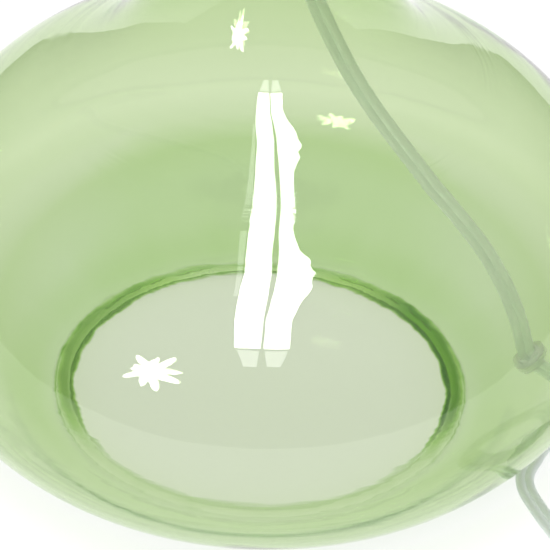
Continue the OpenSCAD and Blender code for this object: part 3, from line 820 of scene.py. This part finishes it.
def make_socket():
    bowl = [tuple(p) for p in bezier((7.9, 7), (12.6, 7.2), (16.8, 10.6), (17.3, 17.6), 14)]
    inner = [tuple(p) for p in bezier((7.4, 8.6), (12, 8.6), (15.9, 11.6), (16.4, 17.8), 10)][::-1]
    cup = [(5.17, 0), (7.6, 0), (7.6, 6.6)] + bowl + [(17.3, 26.4), (17.7, 26.9), (17.7, 28.4), (17.3, 29),
                                                   (16.4, 29)] + inner + [(5.17, 8.6)]
    finished(turned("socket_cup", cup, HUB_Z, 0.25, 120), "lamp_base", SPUN, "nickel", "socket_cap")
    shell = [(15.6, 0), (16.3, 0), (16.3, 6.4), (17.2, 8.2)]
    shell += [(17.2, z) for z in np.linspace(8.8, 14.8, 13)]
    shell += [(17.2, 36), (17.6, 36.6), (17.6, 37.6), (17.2, 38.2), (17.2, 39.2), (17.6, 39.8), (17.6, 40.8),
              (17.2, 41.4), (17.2, 47.2), (18, 48.4), (18, 50.4), (17.2, 51.4), (16.5, 51.4), (16.5, 8.6),
              (15.6, 6.8)]
    base = low("socket_shell").z
    ribs = flutes(60, 0.3 * MM, 17.05 * MM, base + 9 * MM, base + 14.6 * MM)
    piece = turned("pressed_shell", shell, base, 0.3, 360, ribs)
    cutter = skin("cutter", lathe_grid([(3.4 * MM, 0), (3.4 * MM, 30 * MM)], 32), caps=True)
    cutter.data.transform(Matrix.Translation((0, 0, SHAFT_Z)) @ Matrix.Rotation(math.pi / 2, 4, "X"))
    cut(piece, cutter)
    finished(piece, "lamp_base", SPUN, "nickel", "socket_shell")
    bottom, top = low("screw_shell").z, high("screw_shell").z
    pitch = 25.4 / 7 * MM
    wall = (rows_between(13.8 * MM, bottom + 1.2 * MM, top, 0.3 * MM)
            + rows_between(13.4 * MM, bottom + 1.2 * MM, top, 0.3 * MM)[::-1])
    outline = [(12.4 * MM, bottom), (14.2 * MM, bottom), (14.2 * MM, bottom + 0.5 * MM),
               (13.8 * MM, bottom + 0.6 * MM)] + wall + [(12.4 * MM, bottom + 0.5 * MM)]
    rolled = lathe("rolled_screw_shell", outline, 120, helix(0.7 * MM, pitch, 13.3 * MM))
    finished(rolled, "lamp_base", BRASS, "brass", "screw_shell")


def make_knob():
    outline = [(2, 0), (6.7, 0), (8.1, 1.4), (8.3, 5), (8.5, 9), (7.6, 10.6), (6.4, 11), (4.4, 10.7),
               (0, 10.5), (0, 7), (2, 7)]
    knob = turned("turn_knob", outline, 0.0, 0.4, 216, flutes(18, 0.75 * MM, 6.9 * MM))
    place = Matrix.Translation((0, high("switch_knob").y, SHAFT_Z))
    knob.data.transform(place @ Matrix.Rotation(math.pi / 2, 4, "X"))
    return finished(knob, "switch", PHENOLIC, "phenolic", "switch_knob")


def make_leads():
    for side, label in ((-1, "left"), (1, "right")):
        route = [(side * x * MM, 0, z * MM, 0, 1, 0) for x, z in
                 ((1.75, 283), (3.2, 288), (6.5, 292), (10, 293.2), (12.9, 294.4), (13.05, 297.4))]
        dense = smooth_line(route, 0.6 * MM)
        lead = sweep(f"lead_{label}", dense[:, :3], dense[:, 3:], ring_section(0.95 * MM, 12))
        nodes = ["lead_wires"] if side < 0 else []
        finished(lead, "lamp_base", COPPER, "copper", *nodes)


make_neck()
make_socket()
make_knob()
make_leads()


# --- harp and finial -------------------------------------------------------------------------

WIRE_R = 1.6 * MM
HARP_TOP = high("harp_wire").z - WIRE_R
SADDLE_Z = high("spindle").z
LEG_X = 28.25 * MM
HARP_HALF_W = 57 * MM


def make_harp():
    foot = low("harp_wire").z
    half = ([(LEG_X, foot)] + [(LEG_X, foot + t * 27 * MM) for t in (0.3, 0.6)]
            + bezier((LEG_X, SADDLE_Z + 0.043), (LEG_X, SADDLE_Z + 0.063), (HARP_HALF_W, SADDLE_Z + 0.068),
                     (HARP_HALF_W, SADDLE_Z + 0.105), 24)
            + bezier((HARP_HALF_W, SADDLE_Z + 0.11), (HARP_HALF_W, SADDLE_Z + 0.155), (0.044, HARP_TOP),
                     (0.014, HARP_TOP), 30) + [(0.007, HARP_TOP)])
    route = [(x, 0, z, 0, 1, 0) for x, z in half] + [(-x, 0, z, 0, 1, 0) for x, z in half[::-1]]
    dense = smooth_line(route, 3 * MM)
    wire = sweep("bent_wire", dense[:, :3], dense[:, 3:], ring_section(WIRE_R, 20), crease=60)
    finished(wire, "harp", DRAWN, "nickel", "harp_wire")


def make_stud():
    base, top = low("harp_stud").z, high("harp_stud").z
    shoulder = HARP_TOP + 4 * MM
    block = loft_up("stud_block", base, shoulder, 8 * MM, 4 * MM, 0.7 * MM)
    finished(block, "harp", SPUN, "nickel", "harp_stud")
    pitch = 25.4 / 27 * MM
    sunk = shoulder - 0.2 * MM
    outline = ([(0, sunk)] + rows_between(3.17 * MM, sunk, top - 0.5 * MM, pitch / 6)
               + [(2.7 * MM, top), (0, top)])
    rod = lathe("stud_thread", outline, 48, helix(0.3 * MM, pitch, 2.8 * MM))
    finished(rod, "harp", BRASS, "nickel")


def loft_up(name, start, end, half_x, half_y, edge):
    """An upright block with round corners and softened top and bottom edges."""
    sides = 64
    ring_x, ring_y = superellipse(sides, 2 / 0.45)
    bends = np.linspace(0, math.pi / 2, 5)
    rows = [(start + edge * (1 - math.cos(t)), edge * (1 - math.sin(t))) for t in bends]
    rows += [(end - (z - start), inset) for z, inset in rows[::-1]]
    grid = [np.stack([(half_x - inset) * ring_x, (half_y - inset) * ring_y, np.full(sides, z)], axis=-1)
            for z, inset in rows]
    return skin(name, np.array(grid), caps=True)


def make_finial():
    ball = [(8.5 * math.cos(a), 16 + 8.5 * math.sin(a)) for a in np.radians(np.linspace(-45, 86, 22))]
    outline = ([(0, 13), (3.22, 13), (3.22, 0), (6.6, 0), (7, 0.5), (7, 2.6), (6.3, 3.2), (5.4, 4.4),
                (4.8, 6), (4.8, 8), (5.4, 8.8)] + ball + [(0, 24.5)])
    base = low("finial").z
    grip = flutes(36, 0.3 * MM, 6.5 * MM, base, base + 3 * MM)
    piece = turned("turned_finial", outline, base, 0.12, 216, grip)
    finished(piece, "finial", SPUN, "nickel", "finial")


def make_ferrules():
    for name in ("ferrule_left", "ferrule_right"):
        centre = (low(name) + high(name)) / 2
        outline = [(3.75, 0), (4.5, 0), (4.55, 0.4), (4.55, 12.2), (4.35, 13), (3.75, 13)]
        piece = turned(name.replace("ferrule", "sleeve"), outline, low(name).z, 0.2, 64)
        piece.data.transform(Matrix.Translation((centre.x, 0, 0)))
        finished(piece, name, SPUN, "nickel", name)


make_harp()
make_stud()
make_finial()
make_ferrules()


# --- CAD pieces that stay, with their finishes -----------------------------------------------

def keep(node, material, edge=0.0):
    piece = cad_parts[node]
    piece.data.materials.clear()
    piece.data.materials.append(material)
    if edge:
        bevel = piece.modifiers.new("soft_edges", "BEVEL")
        bevel.width = edge * MM
        bevel.segments = 2
        bevel.limit_method = "ANGLE"
        bevel.angle_limit = math.radians(40)


keep("neck_stopper", RUBBER, 0.5)
keep("stopper_washer", STEEL, 0.15)
keep("lock_nut", STEEL, 0.25)
keep("harp_saddle", SPUN, 0.2)
keep("cap_set_screw", STEEL)
keep("insulating_sleeve", FIBRE)
keep("socket_body", PHENOLIC)
keep("centre_contact", BRASS, 0.1)
keep("terminal_screws", BRASS, 0.1)
keep("switch_shaft", STEEL, 0.15)
keep("plug_blades", BRASS, 0.2)


# --- stage, world and lights -----------------------------------------------------------------

TABLE_LIGHT = 0.98                  # the table's own light, like a lit shooting table
DIMMED_NEAR_THROUGH_GLASS = 0.84                 # painted shade: how bright the table's glow is kept where it is seen through the glass near by
DIMMED_FAR_THROUGH_GLASS = 0.7                      # and where its far part is seen through the glass
FOOT_LIGHT = (0.9, 0.86, 0.97)      # painted light: the table under the foot, brighter and untinted
SHADE = (0.64, 0.76, 0.55)          # painted shadow: the green shade that the glass would throw
SHADE_EDGE = (0.59, 0.73, 0.45)
SHADE_RIM = (0.84, 0.88, 0.8)
PALER = (1.16, 1.05, 1.34)          # the painted shadow's tint in front and at the sides, against that behind the foot
SHADE_AT = (0.005, 0.05, 0)
SHADE_SIZE = (0.122, 0.135, 1)


def make_floor():
    """A wide pale table, glowing evenly, with the glass's green shadow and a brighter patch under the foot
    painted into its glow, and painted darker where it is seen through the glass. Its front edge is half a
    metre from the lamp.
    """
    mesh = bpy.data.meshes.new("table")
    mesh.from_pydata([(-2.5, -0.52, 0), (2.5, -0.52, 0), (2.5, 3, 0), (-2.5, 3, 0)], [], [(0, 1, 2, 3)])
    floor = bpy.data.objects.new("table", mesh)
    scene.collection.objects.link(floor)
    f = Finish("pale_table", Roughness=0.9, Specular_IOR_Level=0.1)
    cloud = f.noise(3.0, 2.0)
    f.set(Base_Color=f.ramp(cloud, (0.3, 0.115), (0.7, 0.125)))
    offset = f.add("VectorMath", {"operation": "SUBTRACT"}, Vector=f.place())
    offset.inputs[1].default_value = SHADE_AT
    scaled = f.add("VectorMath", {"operation": "DIVIDE"}, Vector=offset.outputs["Vector"])
    scaled.inputs[1].default_value = SHADE_SIZE
    reach = f.add("VectorMath", {"operation": "LENGTH"}, Vector=scaled.outputs["Vector"])
    half = f.math("MULTIPLY", reach.outputs["Value"], 0.5)
    # painted shadow: a soft green oval behind the foot, darker towards its edge, fading into the table
    shade = f.ramp(half, (0.0, SHADE), (0.38, SHADE), (0.475, SHADE_EDGE), (0.56, SHADE_RIM),
                   (0.65, TABLE_LIGHT))
    radius = f.add("VectorMath", {"operation": "LENGTH"}, Vector=f.place())
    beyond_foot = between(f, radius.outputs["Value"], 0.076, 0.086)
    axes = f.add("SeparateXYZ", Vector=f.place())
    behind = between(f, axes.outputs["Y"], -0.01, 0.05)
    middle = between(f, f.math("ABSOLUTE", axes.outputs["X"]), 0.05, 0.1, 1.0, 0.0)
    outside = between(f, reach.outputs["Value"], 0.95, 1.2)
    green = f.math("MAXIMUM", f.math("MULTIPLY", behind, middle), outside)
    shade = blend(f, 1.0, shade, blend(f, green, PALER, (1.0, 1.0, 1.0)), "MULTIPLY")
    # painted light under the foot, painted shadow beyond it
    light = blend(f, beyond_foot, FOOT_LIGHT, shade)
    # painted shade: the table's glow is lowered where it is seen through glass, more so far behind
    through = f.add("LightPath").outputs["Is Transmission Ray"]
    seen = between(f, axes.outputs["Y"], 0.15, 0.7, DIMMED_NEAR_THROUGH_GLASS, DIMMED_FAR_THROUGH_GLASS)
    dimming = f.math("MULTIPLY", through, f.math("SUBTRACT", seen, 1.0))
    f.set(Emission_Color=light, Emission_Strength=f.math("ADD", dimming, 1.0))
    mesh.materials.append(f.material)


def make_world():
    """White behind the lamp, and for reflections a dim room under a bright ceiling."""
    world = bpy.data.worlds.new("studio")
    scene.world = world
    world.use_nodes = True
    tree = world.node_tree
    links = tree.links
    light = tree.nodes.new("ShaderNodeLightPath")
    place = tree.nodes.new("ShaderNodeTexCoord")
    split = tree.nodes.new("ShaderNodeSeparateXYZ")
    links.new(place.outputs["Generated"], split.inputs["Vector"])
    half = tree.nodes.new("ShaderNodeMath")
    half.operation = "MULTIPLY_ADD"
    half.inputs[1].default_value = 0.5
    half.inputs[2].default_value = 0.5
    links.new(split.outputs["Z"], half.inputs[0])
    ramp = tree.nodes.new("ShaderNodeValToRGB")
    links.new(half.outputs["Value"], ramp.inputs["Fac"])
    stops = ((0.0, 0.1), (0.5, 0.16), (0.62, 0.26), (0.78, 0.6), (1.0, 0.8))
    while len(ramp.color_ramp.elements) < len(stops):
        ramp.color_ramp.elements.new(0.5)
    for element, (position, value) in zip(ramp.color_ramp.elements, stops):
        element.position = position
        element.color = (value, value, value, 1)
    colour = ramp.outputs["Color"]
    for ray, value in (("Is Diffuse Ray", 0.9), ("Is Transmission Ray", 0.78), ("Is Camera Ray", 1.0)):
        mix = tree.nodes.new("ShaderNodeMix")
        mix.data_type = "RGBA"
        links.new(light.outputs[ray], mix.inputs[0])
        links.new(colour, mix.inputs[6])
        mix.inputs[7].default_value = (value, value, value, 1)
        colour = mix.outputs[2]
    links.new(colour, tree.nodes["Background"].inputs["Color"])


LIGHT_CENTRE = Vector((0, -0.09, 0.12))     # the middle of the glass's lit front
LIGHT_DISTANCE = 1.5

# A tall bright window behind the photographer, as rows of (elevation in degrees, left edge, right edge), with
# the edges as shares of the distance. A plant on its sill hides part of the right pane's middle.
LEFT_PANE = [(40, -0.131, -0.01), (52, -0.127, 0.004), (62, -0.107, 0.03), (69, -0.078, 0.042),
             (76, -0.068, 0.04), (84, -0.057, 0.045), (88, -0.03, 0.03)]
RIGHT_PANE = [(40, 0.006, 0.144), (52, 0.014, 0.135), (59, 0.04, 0.17), (62, 0.05, 0.2), (65, 0.058, 0.225),
              (68, 0.062, 0.215), (71, 0.064, 0.236), (73, 0.066, 0.2), (75, 0.068, 0.205), (78, 0.068, 0.15),
              (84, 0.06, 0.116), (87, 0.07, 0.09)]
LEFT_SILL = [(31, -0.09, -0.025), (35, -0.1, -0.02), (39, -0.12, -0.015)]
RIGHT_SILL = [(31, 0.03, 0.1), (35, 0.02, 0.12), (39, 0.012, 0.135)]
SIDE_GLOW = [(60, -0.135, -0.11), (72, -0.11, -0.082), (84, -0.09, -0.062)]


def toward(elevation):
    """A direction from the lamp to the front, which is -Y."""
    e = math.radians(elevation)
    return Vector((0, -math.cos(e), math.sin(e)))


def glowing(name, points, faces, radiance):
    """A bright sheet that only mirrors and glass see."""
    mesh = bpy.data.meshes.new(name)
    mesh.from_pydata(points, [], faces)
    sheet = bpy.data.objects.new(name, mesh)
    scene.collection.objects.link(sheet)
    f = Finish(name, Base_Color=(0, 0, 0, 1), Emission_Color=(1, 1, 1, 1), Emission_Strength=radiance)
    mesh.materials.append(f.material)
    sheet.visible_camera = False
    sheet.visible_diffuse = False
    sheet.visible_shadow = False
    sheet.visible_transmission = False
    return sheet


def window_pane(name, rows, radiance):
    points = []
    for elevation, left, right in rows:
        middle = LIGHT_CENTRE + LIGHT_DISTANCE * toward(elevation)
        points += [middle + Vector((edge * LIGHT_DISTANCE, 0, 0)) for edge in (left, right)]
    faces = [(2 * i, 2 * i + 1, 2 * i + 3, 2 * i + 2) for i in range(len(rows) - 1)]
    glowing(name, points, faces, radiance)


LEAVES_AT = Vector((-0.15, -0.303, 0.189))      # near the lamp, so its belly and shoulder both mirror it
LEAVES_HALF = Vector((0.052, 0, 0.048))


def leafy_light():
    """A lamp behind leaves: a ragged star of light beside the window."""
    steps, start = 180, 0.6
    points = [LEAVES_AT]
    for k in range(steps):
        a = TAU * k / steps
        finger = abs(math.sin(4.5 * a + start))
        reach = 0.36 + 0.52 * finger + 0.14 * math.sin(5 * a + 2.0 + start) + 0.08 * math.sin(14 * a)
        out = Vector((LEAVES_HALF.x * math.cos(a), 0, LEAVES_HALF.z * math.sin(a)))
        points.append(LEAVES_AT + reach * out)
    faces = [(0, k + 1, (k + 1) % steps + 1) for k in range(steps)]
    star = glowing("leafy_light", points, faces, 20)
    star.visible_transmission = True


def make_lights():
    window_pane("window_left", LEFT_PANE, 22)
    window_pane("window_right", RIGHT_PANE, 22)
    window_pane("sill_left", LEFT_SILL, 6)
    window_pane("sill_right", RIGHT_SILL, 6)
    window_pane("side_glow", SIDE_GLOW, 4)
    leafy_light()


make_floor()
make_world()
make_lights()
scene.view_settings.view_transform = "Standard"
scene.cycles.max_bounces = 32
scene.cycles.transmission_bounces = 32
scene.cycles.glossy_bounces = 12
scene.cycles.diffuse_bounces = 4
scene.cycles.blur_glossy = 0.1
